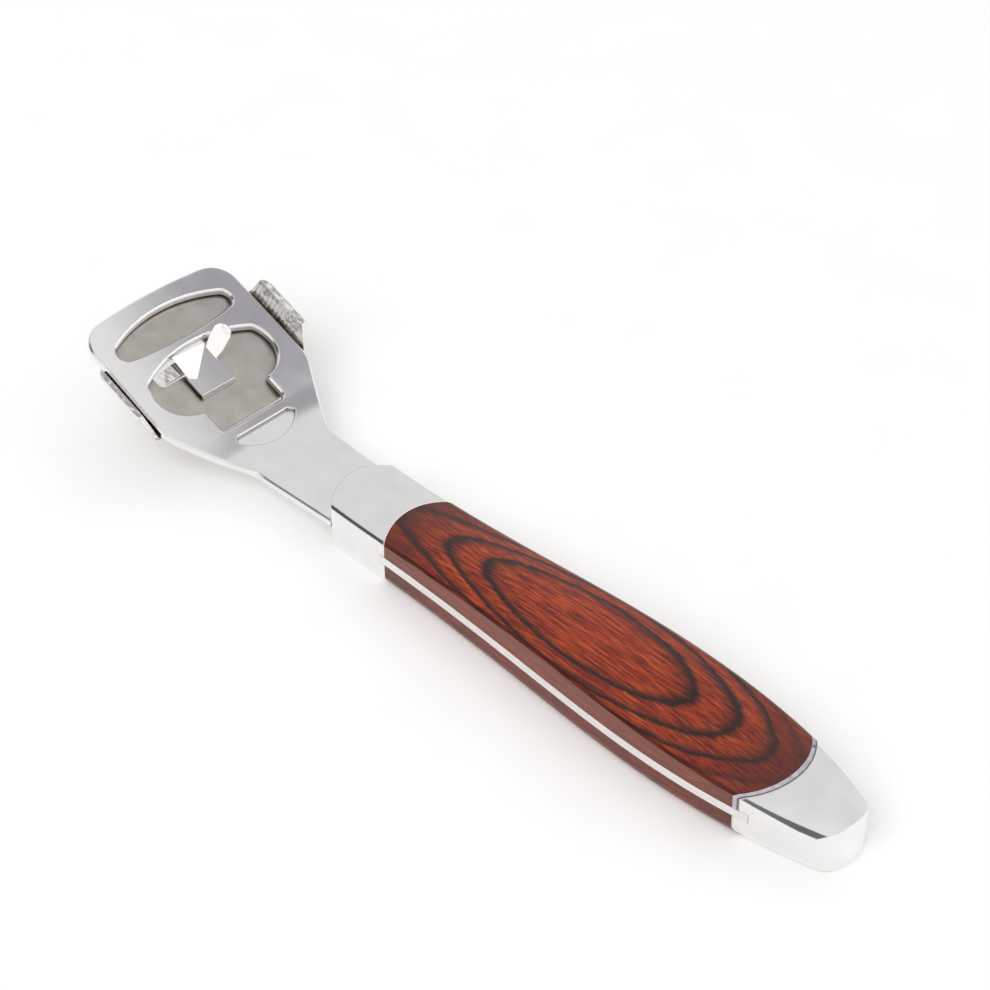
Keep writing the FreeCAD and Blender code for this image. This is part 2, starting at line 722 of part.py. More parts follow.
groove_section = [
    beside_wall("0.5", "-0.5"),
    beside_wall("0.5", size("rib_depth")),
    beside_wall("%s - 0.2" % HEIGHT, size("rib_depth")),
    beside_wall("%s - 0.2" % HEIGHT, "-0.5"),
]
rib_grooves = new_body("rib_grooves")
groove_sketch = new_sketch(rib_grooves, "groove_section", "YZ_Plane", size("rib_start"))
draw_outline(groove_sketch, groove_section)
draw_outline(groove_sketch, [("-(%s)" % y, z) for y, z in groove_section[::-1]])
groove = pad(rib_grooves, groove_sketch, size("rib_width"), "groove")
groove_row = rib_grooves.newObject("PartDesign::LinearPattern", "groove_row")
groove_row.Originals = [groove]
groove_row.Direction = (groove_sketch, ["N_Axis"])
bind(groove_row, "Length", "sizes.rib_pitch * (sizes.rib_count - 1)")
bind(groove_row, "Occurrences", "sizes.rib_count")
rib_grooves.Tip = groove_row
ear_ribbed = cut("ear_ribbed", ear_channel, rib_grooves)

# Ears seen from the side: slanted at the rear, rounded at both upper corners
ear_profile = new_body("ear_profile")
ear_side = new_sketch(ear_profile, "ear_side", "XZ_Plane")
LIP_TOP = "(%s + 3)" % ear_points[2][1]
draw_outline(ear_side, [
    (size("ear_rear"), "%s - 2" % FLOOR),
    (size("ear_front"), "%s - 2" % FLOOR),
    (size("ear_front"), "%s + 0.6" % FLOOR),
    (size("lip_front"), ear_points[1][1]),
    (size("lip_front"), LIP_TOP),
    (size("ear_slope_front"), LIP_TOP),
    (size("ear_slope_front"), ear_points[1][1]),
    (size("ear_rear"), "%s + 0.3" % FLOOR),
])
pad(ear_profile, ear_side, "60", "ear_profile_pad", symmetric=True)
LIP_EDGE = "(%s - 0.05)" % ear_points[2][0]
lip_plan = prism("lip_plan", mirrored([
    (size("ear_rear"), size("ear_base"), size("ear_tail_radius"), -1),
    (size("lip_rear"), LIP_EDGE),
    ("sizes.lip_front - sizes.ear_rounding", LIP_EDGE, size("ear_rounding"), -1),
    ("sizes.lip_front", "%s - sizes.ear_rounding" % LIP_EDGE),
    (size("ear_front"), size("ear_base")),
]), "-" + CLEAR, "2 * " + CLEAR)
ears_trimmed = common("ears_trimmed", common("ears_cut", ear_ribbed, ear_profile), lip_plan)

# Window left in the plate in front of the latch, which isn't quite in the middle
LATCH_LEFT = "(sizes.latch_centre + sizes.latch_half_width)"
LATCH_RIGHT = "(sizes.latch_centre - sizes.latch_half_width)"
latch_opening = prism("latch_opening", [
    (size("window_rear"), size("window_left")),
    (size("window_front"), size("window_left")),
    (size("window_front"), "-sizes.window_right"),
    (size("window_rear"), "-sizes.window_right"),
], "-" + CLEAR, "2 * " + CLEAR)
round_corners(latch_opening, latch_opening.Tip, [
    (size("window_rear"), size("window_left")),
    (size("window_front"), size("window_left")),
], "1.2", "window_rounding")

# Latch: raised stem, a facet that rises to its front corner, a low left wing and a lifted right wing
STEM = "(-sizes.latch_depth)"
latch_levels = [
    (size("latch_root"), FLOOR),
    (size("latch_foot"), FLOOR),
    (size("latch_step_front"), STEM),
    (size("latch_front"), STEM),
]
latch_stem = new_body("latch_stem")
latch_side = new_sketch(latch_stem, "latch_side", "XZ_Plane")
draw_outline(latch_side, [(x, "(%s - %s)" % (z, GUARD)) for x, z in latch_levels] + latch_levels[::-1])
pad(latch_stem, latch_side, "2 * sizes.latch_half_width", "latch_pad", symmetric=True)
bind(latch_stem, "Placement.Base.y", size("latch_centre"))

# The facet starts from a slanted crease across the stem
facet_plan = prism("facet_plan", [
    (size("facet_rear"), size("facet_side")),
    (size("facet_left"), LATCH_LEFT),
    (size("latch_front"), LATCH_LEFT),
    (size("latch_front"), LATCH_RIGHT),
    (size("facet_end"), LATCH_RIGHT),
], "%s - %s" % (STEM, GUARD), "3")
facet_slab = prism("facet_slab", [("-12", "-12"), ("12", "-12"), ("12", "12"), ("-12", "12")], "-4", "4")
CREASE_LINE = Vector(0.65, -0.76, 0)
facet_slab.Placement = FreeCAD.Placement(Vector(), FreeCAD.Rotation(CREASE_LINE, 1))
bind(facet_slab, "Placement.Base.x", size("facet_rear"))
bind(facet_slab, "Placement.Base.y", size("facet_side"))
bind(facet_slab, "Placement.Base.z", STEM)
bind(facet_slab, "Placement.Rotation.Angle", "sizes.facet_slope * 1 deg")
latch_facet = common("latch_facet", facet_plan, facet_slab)

left_wing = prism("left_wing", [
    (size("latch_bend"), "%s - 1" % LATCH_LEFT),
    (size("left_wing_front"), "%s - 1" % LATCH_LEFT),
    (size("left_wing_front"), LATCH_LEFT),
    ("sizes.left_wing_front - 0.5", size("left_wing_tip")),
    (size("latch_bend"), size("left_wing_tip")),
], "%s - sizes.left_wing_drop - %s" % (STEM, GUARD), GUARD)

# The right wing is a leaf that widens from its root, leans forwards and is bent up
right_wing = new_body("right_wing")
wing_sketch = new_sketch(right_wing, "wing_outline", "XY_Plane")
WING = size("right_wing_width")
WING_END = "-(sizes.right_wing_length - %s / 2)" % WING
draw_outline(wing_sketch, [
    ("-%s / 2 + sizes.wing_root_taper" % WING, "0"),
    ("-%s / 2 + sizes.wing_skew / 2" % WING, "%s / 2" % WING_END),
    ("-%s / 2 + sizes.wing_skew" % WING, WING_END, "0.505 * %s" % WING, 1),
    ("%s / 2 + sizes.wing_skew" % WING, WING_END),
    ("%s / 2 + sizes.wing_skew / 2" % WING, "%s / 2" % WING_END),
    ("%s / 2 - sizes.wing_root_taper" % WING, "0"),
])
pad(right_wing, wing_sketch, GUARD, "wing_pad", reverse=True)
right_wing.Placement = FreeCAD.Placement(Vector(), FreeCAD.Rotation(Vector(-1, 0, 0), 1))
bind(right_wing, "Placement.Base.x", size("wing_root"))
bind(right_wing, "Placement.Base.y", "%s + 0.4" % LATCH_RIGHT)
bind(right_wing, "Placement.Base.z", "%s + 0.1" % STEM)
bind(right_wing, "Placement.Rotation.Angle", "sizes.right_wing_angle * 1 deg")

guard_blank = fuse("guard_blank", guard_floor, ears_trimmed)
guard_pierced = cut("guard_pierced", guard_blank, latch_opening)
latch_top = fuse("latch_top", latch_stem, latch_facet)
latch = fuse("latch", fuse("latch_left", latch_top, left_wing), right_wing)
guard_plate = tilted(fuse("guard_piece", guard_pierced, latch))
doc.recompute()


# Named sub-parts, each written to a file of its own
NODES = {
    "head_plate": head_plate,
    "guard_plate": guard_plate,
    "bolster": bolster,
    "tang": tang_plate,
    "upper_scale": upper_scale,
    "lower_scale": lower_scale,
    "rear_filler": rear_filler,
    "end_cap": cap_blank,
    "front_dowel": dowels["front_dowel"],
    "rear_dowel": dowels["rear_dowel"],
}

doc.recompute()
for item in doc.Objects:
    if "Invalid" in item.State or "Error" in item.State:
        raise RuntimeError("%s does not recompute: %s" % (item.Name, item.State))

os.makedirs("parts", exist_ok=True)
for label, item in NODES.items():
    item.Label = label
    shape = item.Shape
    if shape.isNull() or not shape.isValid() or len(shape.Solids) != 1:
        raise RuntimeError("%s is not one valid solid" % label)
    shape.exportStep("parts/%s.step" % label)
    box_of = shape.optimalBoundingBox(True, False)
    print("%-12s volume %9.2f  x %7.2f %7.2f  y %7.2f %7.2f  z %6.2f %6.2f" % (
        label, shape.Volume, box_of.XMin, box_of.XMax, box_of.YMin, box_of.YMax, box_of.ZMin, box_of.ZMax))
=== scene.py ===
import math

import bmesh
import bpy
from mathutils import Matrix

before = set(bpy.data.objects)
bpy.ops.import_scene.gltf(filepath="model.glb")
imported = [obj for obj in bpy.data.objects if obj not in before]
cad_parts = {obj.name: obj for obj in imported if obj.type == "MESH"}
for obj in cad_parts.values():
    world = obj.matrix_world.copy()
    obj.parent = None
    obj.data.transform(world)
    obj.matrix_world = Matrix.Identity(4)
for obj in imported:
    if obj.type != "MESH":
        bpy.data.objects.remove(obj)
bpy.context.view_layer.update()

# ---- Tang --------------------------------------------------------------------------------------------------
# A flat strip of stainless sheet between the wooden scales, blanked out and ground flush with them along the
# sides. Only its two bright edges show, with the fine lengthwise lines of the belt that ground them.

MILLIMETRE = 0.001


def linear_colour(code):
    """The linear colour of an sRGB hex code, as a shader takes it."""
    parts = [int(code[i:i + 2], 16) / 255 for i in (0, 2, 4)]
    return tuple(c / 12.92 if c <= 0.04045 else ((c + 0.055) / 1.055) ** 2.4 for c in parts) + (1.0,)


def add_node(tree, kind, settings=(), stops=(), **values):
    """Adds one node. A value is a constant or another node's socket.

    A value's name is its socket's name, or in0, in1, ... for its place. Stops are those of a colour ramp.
    """
    node = tree.nodes.new(kind)
    for name, setting in dict(settings).items():
        setattr(node, name, setting)
    for number, (position, colour) in enumerate(stops):
        ramp = node.color_ramp.elements
        if number == 0:
            stop = ramp[0]
        elif number == len(stops) - 1:
            stop = ramp[-1]
        else:
            stop = ramp.new(position)
        stop.position = position
        stop.color = linear_colour(colour) if isinstance(colour, str) else colour
    for name, value in values.items():
        by_number = name[:2] == "in" and name[2:].isdigit()
        socket = node.inputs[int(name[2:]) if by_number else name.replace("_", " ")]
        if isinstance(value, bpy.types.NodeSocket):
            tree.links.new(value, socket)
        else:
            socket.default_value = value
    return node


def new_material(name):
    """An empty material and its node tree."""
    material = bpy.data.materials.new(name)
    material.use_nodes = True
    material.node_tree.nodes.clear()
    return material, material.node_tree


def grey(level):
    """A linear grey."""
    return (level, level, level, 1.0)


def give(node_names, material):
    """Puts the material on these parts of the frame."""
    for name in node_names:
        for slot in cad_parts[name].material_slots:
            slot.material = material


# Ground stainless: a bright neutral metal whose fine belt lines stretch a reflection across them.
ground_steel, tree = new_material("ground_stainless_edge")
place = add_node(tree, "ShaderNodeTexCoord")
along_lines = add_node(tree, "ShaderNodeMapping", in0=place.outputs["Object"],
                       Scale=(1 / (9 * MILLIMETRE), 1 / (0.12 * MILLIMETRE), 1 / (0.12 * MILLIMETRE)))
belt_lines = add_node(tree, "ShaderNodeTexNoise", Vector=along_lines.outputs[0], Scale=1.0, Detail=3.0)
patches = add_node(tree, "ShaderNodeTexNoise", Vector=place.outputs["Object"], Scale=1 / (6 * MILLIMETRE),
                   Detail=2.0)
tone = add_node(tree, "ShaderNodeValToRGB", Fac=belt_lines.outputs[0],
                stops=((0.3, "DAD8D5"), (0.7, "F0EEEC")))
gloss = add_node(tree, "ShaderNodeMapRange", Value=patches.outputs[0], in3=0.12, in4=0.22)
lines_bump = add_node(tree, "ShaderNodeBump", Strength=0.25, Distance=0.02 * MILLIMETRE,
                      Height=belt_lines.outputs[0])
steel = add_node(tree, "ShaderNodeBsdfPrincipled", Metallic=1.0, Base_Color=tone.outputs[0],
                 Roughness=gloss.outputs[0], Normal=lines_bump.outputs[0])
add_node(tree, "ShaderNodeOutputMaterial", Surface=steel.outputs[0])
give(["tang"], ground_steel)

# ---- Dowels ------------------------------------------------------------------------------------------------
# Two short steel dowels, cut from drawn rod, that line the scales up on the tang. They are glued into blind
# holes in the wood, so nothing of them shows.

# Drawn steel: a duller, darker grey than the sheets, with the fine lines of the die along the rod.
drawn_steel, tree = new_material("drawn_steel_rod")
place = add_node(tree, "ShaderNodeTexCoord")
along_rod = add_node(tree, "ShaderNodeMapping", in0=place.outputs["Object"],
                     Scale=(1 / (0.15 * MILLIMETRE), 1 / (0.15 * MILLIMETRE), 1 / (4 * MILLIMETRE)))
drawn_lines = add_node(tree, "ShaderNodeTexNoise", Vector=along_rod.outputs[0], Scale=1.0, Detail=2.0)
tone = add_node(tree, "ShaderNodeValToRGB", Fac=drawn_lines.outputs[0],
                stops=((0.3, "8E8C89"), (0.7, "B9B7B3")))
lines_bump = add_node(tree, "ShaderNodeBump", Strength=0.3, Distance=0.02 * MILLIMETRE,
                      Height=drawn_lines.outputs[0])
steel = add_node(tree, "ShaderNodeBsdfPrincipled", Metallic=1.0, Roughness=0.4, Base_Color=tone.outputs[0],
                 Normal=lines_bump.outputs[0])
add_node(tree, "ShaderNodeOutputMaterial", Surface=steel.outputs[0])
give(["front_dowel", "rear_dowel"], drawn_steel)

# ---- Head plate --------------------------------------------------------------------------------------------
# One stamped and bent sheet of stainless, tumbled and then polished on a soft wheel. Its rims are rounded a
# little by the polishing, and the wheel leaves a slightly wavy gloss with faint haze.

# Polished stainless: a clear reflection with a faint haze. The rims catch a bright line, and the sharp inner
# corners are darkened with painted shade.
polished_steel, tree = new_material("polished_stainless_sheet")
place = add_node(tree, "ShaderNodeTexCoord")
waves = add_node(tree, "ShaderNodeTexNoise", Vector=place.outputs["Object"], Scale=1 / (22 * MILLIMETRE),
                 Detail=0.0)
haze = add_node(tree, "ShaderNodeTexNoise", Vector=place.outputs["Object"], Scale=1 / (5 * MILLIMETRE),
                Detail=4.0)
wheel_marks = add_node(tree, "ShaderNodeMapping", in0=place.outputs["Object"],
                       Rotation=(0, 0, math.radians(35)),
                       Scale=(1 / (5 * MILLIMETRE), 1 / (0.15 * MILLIMETRE), 1 / (0.15 * MILLIMETRE)))
marks = add_node(tree, "ShaderNodeTexNoise", Vector=wheel_marks.outputs[0], Scale=1.0, Detail=3.0)
tone = add_node(tree, "ShaderNodeValToRGB", Fac=haze.outputs[0], stops=((0.3, "E4E3E2"), (0.7, "EBEAE9")))
gloss = add_node(tree, "ShaderNodeMapRange", Value=haze.outputs[0], in3=0.1, in4=0.17)
round_rim = add_node(tree, "ShaderNodeBevel", {"samples": 6}, Radius=0.35 * MILLIMETRE)
wave_bump = add_node(tree, "ShaderNodeBump", Strength=0.2, Distance=0.04 * MILLIMETRE,
                     Height=waves.outputs[0], Normal=round_rim.outputs[0])
mark_bump = add_node(tree, "ShaderNodeBump", Strength=0.06, Distance=0.01 * MILLIMETRE,
                     Height=marks.outputs[0], Normal=wave_bump.outputs[0])
# Painted shade: where the ambient occlusion finds a crease, the colour darkens towards a dark grey.
painted_shade_occlusion = add_node(tree, "ShaderNodeAmbientOcclusion", {"samples": 6}, Distance=0.6 * MILLIMETRE)
painted_shade_amount = add_node(tree, "ShaderNodeMapRange", Value=painted_shade_occlusion.outputs["AO"], in1=0.45, in2=0.85,
                     in3=0.25, in4=1.0)
with_painted_shade = add_node(tree, "ShaderNodeMix", {"data_type": "RGBA"}, in0=painted_shade_amount.outputs[0],
                  in6=linear_colour("5A5450"), in7=tone.outputs[0])
steel = add_node(tree, "ShaderNodeBsdfPrincipled", Metallic=1.0, Base_Color=with_painted_shade.outputs[2],
                 Roughness=gloss.outputs[0], Normal=mark_bump.outputs[0])
add_node(tree, "ShaderNodeOutputMaterial", Surface=steel.outputs[0])
give(["head_plate"], polished_steel)

# ---- Bolster and end cap -----------------------------------------------------------------------------------
# Two solid stainless blocks, slotted for the neck and the tang and glued on. They are ground flush with the
# wood and polished together with it.

# Polished stainless: a clear reflection with a faint haze and belt lines along the handle. The polished rims
# catch a thin bright line, and a dark one along the facet.
polished_block, tree = new_material("polished_stainless_block")
place = add_node(tree, "ShaderNodeTexCoord")
waves = add_node(tree, "ShaderNodeTexNoise", Vector=place.outputs["Object"], Scale=1 / (14 * MILLIMETRE),
                 Detail=0.0)
haze = add_node(tree, "ShaderNodeTexNoise", Vector=place.outputs["Object"], Scale=1 / (5 * MILLIMETRE),
                Detail=4.0)
belt = add_node(tree, "ShaderNodeMapping", in0=place.outputs["Object"],
                Scale=(1 / (8 * MILLIMETRE), 1 / (0.15 * MILLIMETRE), 1 / (0.15 * MILLIMETRE)))
belt_lines = add_node(tree, "ShaderNodeTexNoise", Vector=belt.outputs[0], Scale=1.0, Detail=3.0)
tone = add_node(tree, "ShaderNodeValToRGB", Fac=haze.outputs[0], stops=((0.3, "E4E3E2"), (0.7, "EBEAE9")))
gloss = add_node(tree, "ShaderNodeMapRange", Value=haze.outputs[0], in3=0.1, in4=0.18)
round_rim = add_node(tree, "ShaderNodeBevel", {"samples": 6}, Radius=0.3 * MILLIMETRE)
wave_bump = add_node(tree, "ShaderNodeBump", Strength=0.2, Distance=0.04 * MILLIMETRE,
                     Height=waves.outputs[0], Normal=round_rim.outputs[0])
line_bump = add_node(tree, "ShaderNodeBump", Strength=0.1, Distance=0.01 * MILLIMETRE,
                     Height=belt_lines.outputs[0], Normal=wave_bump.outputs[0])
steel = add_node(tree, "ShaderNodeBsdfPrincipled", Metallic=1.0, Base_Color=tone.outputs[0],
                 Roughness=gloss.outputs[0], Normal=line_bump.outputs[0])
add_node(tree, "ShaderNodeOutputMaterial", Surface=steel.outputs[0])
give(["bolster", "end_cap"], polished_block)

# ---- Wooden scales -----------------------------------------------------------------------------------------
# Two scales of laminated wood: thin birch veneers dyed red and near-black, pressed with resin, glued to the
# tang, then sanded to the crowned form and lacquered. The crown cuts the veneers at a shallow angle and shows
# them as contours.

# All in millimetres, heights above the table.
LAYER = 0.6  # from one dark line to the next
TOP_LINE = 11.66  # the highest dark line
TOP_LAYER_NUMBER = 40  # the number of the layer above it, which only picks each layer's own tone
SINK = 0.0036  # how much the veneers sink per millimetre towards the head
UNEVEN = 0.26  # how far the slow waves bend a line, and its ragged edge again
OVAL_FADE = (0.2, 0.36)  # this far above the highest line its soft upper side ends
SHOULDER = (9.9, 10.2)  # below this height the lines are weaker
WOOD_REAR, WOOD_FRONT = -45.0, 48.0  # along the handle
GRIP_HEIGHT = 12.0

# Dyed laminated wood: orange-red veneers with a satin sheen, parted by near-black lines that widen where the
# crown is nearly level. The top veneer holds no line inside the last closed oval. Both ends are darker. The
# narrow turn of the shoulder is painted nearly black as shade. The flanks are painted a greyer brown that
# stands in for the paper's reflection, darker towards the bottom.
dyed_wood, tree = new_material("dyed_laminated_wood")
place = add_node(tree, "ShaderNodeTexCoord")
mm = add_node(tree, "ShaderNodeVectorMath", {"operation": "MULTIPLY"}, in0=place.outputs["Object"],
              in1=(1000, 1000, 1000))
axes = add_node(tree, "ShaderNodeSeparateXYZ", in0=mm.outputs[0])

# The height in the block of veneers, and from it the layer and the place in the layer.
wavy_place = add_node(tree, "ShaderNodeMapping", in0=mm.outputs[0], Scale=(1 / 15, 1 / 8, 1 / 60))
waves = add_node(tree, "ShaderNodeTexNoise", Vector=wavy_place.outputs[0], Scale=1.0, Detail=2.0,
                 Roughness=0.5)
ragged_place = add_node(tree, "ShaderNodeMapping", in0=mm.outputs[0], Scale=(1 / 2.6, 1 / 0.8, 1 / 8))
ragged = add_node(tree, "ShaderNodeTexNoise", Vector=ragged_place.outputs[0], Scale=1.0, Detail=5.0,
                  Roughness=0.7)
slope = add_node(tree, "ShaderNodeMath", {"operation": "MULTIPLY_ADD"}, in0=axes.outputs[0], in1=SINK,
                 in2=axes.outputs[2])
with_waves = add_node(tree, "ShaderNodeMath", {"operation": "MULTIPLY_ADD"}, in0=waves.outputs[0],
                      in1=UNEVEN, in2=slope.outputs[0])
with_ragged = add_node(tree, "ShaderNodeMath", {"operation": "MULTIPLY_ADD"}, in0=ragged.outputs[0],
                       in1=UNEVEN, in2=with_waves.outputs[0])
level = add_node(tree, "ShaderNodeMath", {"operation": "SUBTRACT"}, in0=with_ragged.outputs[0], in1=UNEVEN)
layers = add_node(tree, "ShaderNodeMath", {"operation": "MULTIPLY_ADD"}, in0=level.outputs[0],
                  in1=1 / LAYER, in2=TOP_LAYER_NUMBER - TOP_LINE / LAYER)
in_layer = add_node(tree, "ShaderNodeMath", {"operation": "FRACT"}, in0=layers.outputs[0])
layer_number = add_node(tree, "ShaderNodeMath", {"operation": "FLOOR"}, in0=layers.outputs[0])
layer_chance = add_node(tree, "ShaderNodeTexWhiteNoise", {"noise_dimensions": "1D"},
                        W=layer_number.outputs[0])

# The dark lines: sharp below and soft above, none in the top veneer, weaker under the shoulder.
line_shape = add_node(tree, "ShaderNodeValToRGB", Fac=in_layer.outputs[0],
                      stops=((0.0, grey(1.0)), (0.08, grey(0.85)), (0.25, grey(0.35)), (0.45, grey(0.05)),
                             (0.75, grey(0.03)), (0.84, grey(0.3)), (0.92, grey(0.9)), (1.0, grey(1.0))))
below_top = add_node(tree, "ShaderNodeMapRange", Value=level.outputs[0], in1=TOP_LINE + OVAL_FADE[0],
                     in2=TOP_LINE + OVAL_FADE[1], in3=1.0, in4=0.0)
above_shoulder = add_node(tree, "ShaderNodeMapRange", Value=level.outputs[0], in1=SHOULDER[0],
                          in2=SHOULDER[1], in3=0.6, in4=1.0)
top_lines = add_node(tree, "ShaderNodeMath", {"operation": "MULTIPLY"}, in0=line_shape.outputs[0],
                     in1=below_top.outputs[0])
glue_line = add_node(tree, "ShaderNodeMath", {"operation": "MULTIPLY"}, in0=top_lines.outputs[0],
                     in1=above_shoulder.outputs[0])

# The veneers between them: streaks of grain 7 mm long, short dark pores, and each layer's own tone.
streak_place = add_node(tree, "ShaderNodeMapping", in0=mm.outputs[0], Scale=(1 / 7, 1 / 0.35, 1 / 0.3))
streaks = add_node(tree, "ShaderNodeTexNoise", Vector=streak_place.outputs[0], Scale=1.0, Detail=4.0,
                   Roughness=0.6)
pore_place = add_node(tree, "ShaderNodeMapping", in0=mm.outputs[0], Scale=(1 / 2.6, 1 / 0.2, 1 / 0.2))
pores = add_node(tree, "ShaderNodeTexNoise", Vector=pore_place.outputs[0], Scale=1.0, Detail=2.0)
pore_mask = add_node(tree, "ShaderNodeMapRange", Value=pores.outputs[0], in1=0.52, in2=0.7,
                     in3=0.0, in4=0.7)
red = add_node(tree, "ShaderNodeValToRGB", Fac=streaks.outputs[0],
               stops=((0.3, "4A1208"), (0.42, "7E2410"), (0.52, "A83A15"), (0.66, "C8561F")))
deep = add_node(tree, "ShaderNodeMix", {"data_type": "RGBA", "blend_type": "MULTIPLY"},
                in0=layer_chance.outputs[0], in6=red.outputs[0], in7=linear_colour("D8BBAA"))
with_pores = add_node(tree, "ShaderNodeMix", {"data_type": "RGBA"}, in0=pore_mask.outputs[0],
                      in6=deep.outputs[2], in7=linear_colour("3A140C"))
with_lines = add_node(tree, "ShaderNodeMix", {"data_type": "RGBA"}, in0=glue_line.outputs[0],
                      in6=with_pores.outputs[2], in7=linear_colour("1B1210"))

# The darker ends. Then, picked by how far the surface faces sideways, painted shade on the turn of the
# shoulder, and on the flanks a painted reflection of the paper, darker towards the bottom.
along = add_node(tree, "ShaderNodeMapRange", Value=axes.outputs[0], in1=WOOD_REAR, in2=WOOD_FRONT)
ends = add_node(tree, "ShaderNodeValToRGB", Fac=along.outputs[0],
                stops=((0.0, grey(0.85)), (0.14, grey(0.1)), (0.8, grey(0.0)), (0.97, grey(0.55))))
near_ends = add_node(tree, "ShaderNodeMix", {"data_type": "RGBA"}, in0=ends.outputs[0],
                     in6=with_lines.outputs[2], in7=linear_colour("4A2620"))
facing = add_node(tree, "ShaderNodeNewGeometry")
facing_axes = add_node(tree, "ShaderNodeSeparateXYZ", in0=facing.outputs["True Normal"])
sideways = add_node(tree, "ShaderNodeMath", {"operation": "ABSOLUTE"}, in0=facing_axes.outputs[1])
# Painted shade: where the surface faces partly sideways, at the turn of the shoulder, the colour goes nearly
# black.
painted_turn_shade = add_node(tree, "ShaderNodeValToRGB", Fac=sideways.outputs[0],
                stops=((0.36, grey(0.0)), (0.44, grey(0.6)), (0.62, grey(0.6)), (0.72, grey(0.0))))
with_painted_turn_shade = add_node(tree, "ShaderNodeMix", {"data_type": "RGBA"}, in0=painted_turn_shade.outputs[0],
                    in6=near_ends.outputs[2], in7=linear_colour("2A1511"))
# Painted reflection: the flanks take a greyer brown for the paper they mirror, darker towards the bottom.
painted_flank_mask = add_node(tree, "ShaderNodeMapRange", Value=sideways.outputs[0], in1=0.75, in2=0.85,
                 in3=0.0, in4=0.4)
height = add_node(tree, "ShaderNodeMapRange", Value=axes.outputs[2], in1=0.0, in2=GRIP_HEIGHT)
painted_flank_reflection = add_node(tree, "ShaderNodeValToRGB", Fac=height.outputs[0],
                      stops=((0.36, "4E423E"), (0.56, "7C5A50")))
with_painted_flank = add_node(tree, "ShaderNodeMix", {"data_type": "RGBA"}, in0=painted_flank_mask.outputs[0],
                  in6=with_painted_turn_shade.outputs[2], in7=painted_flank_reflection.outputs[0])

grain_bump = add_node(tree, "ShaderNodeBump", Strength=0.12, Distance=0.02 * MILLIMETRE,
                      Height=streaks.outputs[0])
wood_gloss = add_node(tree, "ShaderNodeMapRange", Value=streaks.outputs[0], in3=0.3, in4=0.45)
wood = add_node(tree, "ShaderNodeBsdfPrincipled", Base_Color=with_painted_flank.outputs[2],
                Roughness=wood_gloss.outputs[0], Normal=grain_bump.outputs[0], Specular_IOR_Level=0.25,
                Coat_Weight=0.15, Coat_Roughness=0.15)
add_node(tree, "ShaderNodeOutputMaterial", Surface=wood.outputs[0])
give(["upper_scale", "lower_scale"], dyed_wood)

# ---- Rear filler -------------------------------------------------------------------------------------------
# A thin band of grey vulcanised fibre between the upper scale and the cap, glued in and sanded flush. It
# takes up the gap that is left between the wood and the steel.

# Millimetres in plan: the cap's curved seat, and where the glue line before it starts and is full.
SEAT_CENTRE = (-31.3, 0, 0)
GLUE_START, GLUE_FULL = 13.0, 13.12

# Vulcanised fibre: matt grey with a violet cast and a fine dark mottle, and a thin dark line of glue on the
# side of the cap.
grey_fibre, tree = new_material("grey_vulcanised_fibre")
place = add_node(tree, "ShaderNodeTexCoord")
mottle = add_node(tree, "ShaderNodeTexNoise", Vector=place.outputs["Object"],
                  Scale=1 / (0.9 * MILLIMETRE), Detail=4.0)
tone = add_node(tree, "ShaderNodeValToRGB", Fac=mottle.outputs[0],
                stops=((0.27, "5F5A63"), (0.36, "ACA8B3"), (0.7, "C8C4CD")))
fibre_bump = add_node(tree, "ShaderNodeBump", Strength=0.3, Distance=0.05 * MILLIMETRE,
                      Height=mottle.outputs[0])
mm = add_node(tree, "ShaderNodeVectorMath", {"operation": "MULTIPLY"}, in0=place.outputs["Object"],
              in1=(1000, 1000, 0))
from_centre = add_node(tree, "ShaderNodeVectorMath", {"operation": "DISTANCE"}, in0=mm.outputs[0],
                       in1=SEAT_CENTRE)
glue = add_node(tree, "ShaderNodeMapRange", Value=from_centre.outputs["Value"], in1=GLUE_START,
                in2=GLUE_FULL, in3=0.0, in4=0.8)
with_glue = add_node(tree, "ShaderNodeMix", {"data_type": "RGBA"}, in0=glue.outputs[0],
                     in6=tone.outputs[0], in7=linear_colour("2C2427"))
fibre = add_node(tree, "ShaderNodeBsdfPrincipled", Roughness=0.5, Base_Color=with_glue.outputs[2],
                 Normal=fibre_bump.outputs[0])
add_node(tree, "ShaderNodeOutputMaterial", Surface=fibre.outputs[0])
give(["rear_filler"], grey_fibre)

# ---- Guard plate -------------------------------------------------------------------------------------------
# A thinner sheet of stainless that slides under the head, stamped with ribbed ears and a raised latch. Its
# floor is only tumbled. The latch and the ears stand above it, burnished by the dies that formed them.

# The head's own axes, and the height in them at which the floor ends and the raised forms start.
HEAD_PLACE = (80.7 * MILLIMETRE, 0, 6.4 * MILLIMETRE)
HEAD_TILT = math.radians(-21.5)
RAISED_START, RAISED_FULL = -1.75 * MILLIMETRE, -1.5 * MILLIMETRE
EAR_START, EAR_FULL = 5 * MILLIMETRE, 8 * MILLIMETRE  # sideways from the middle

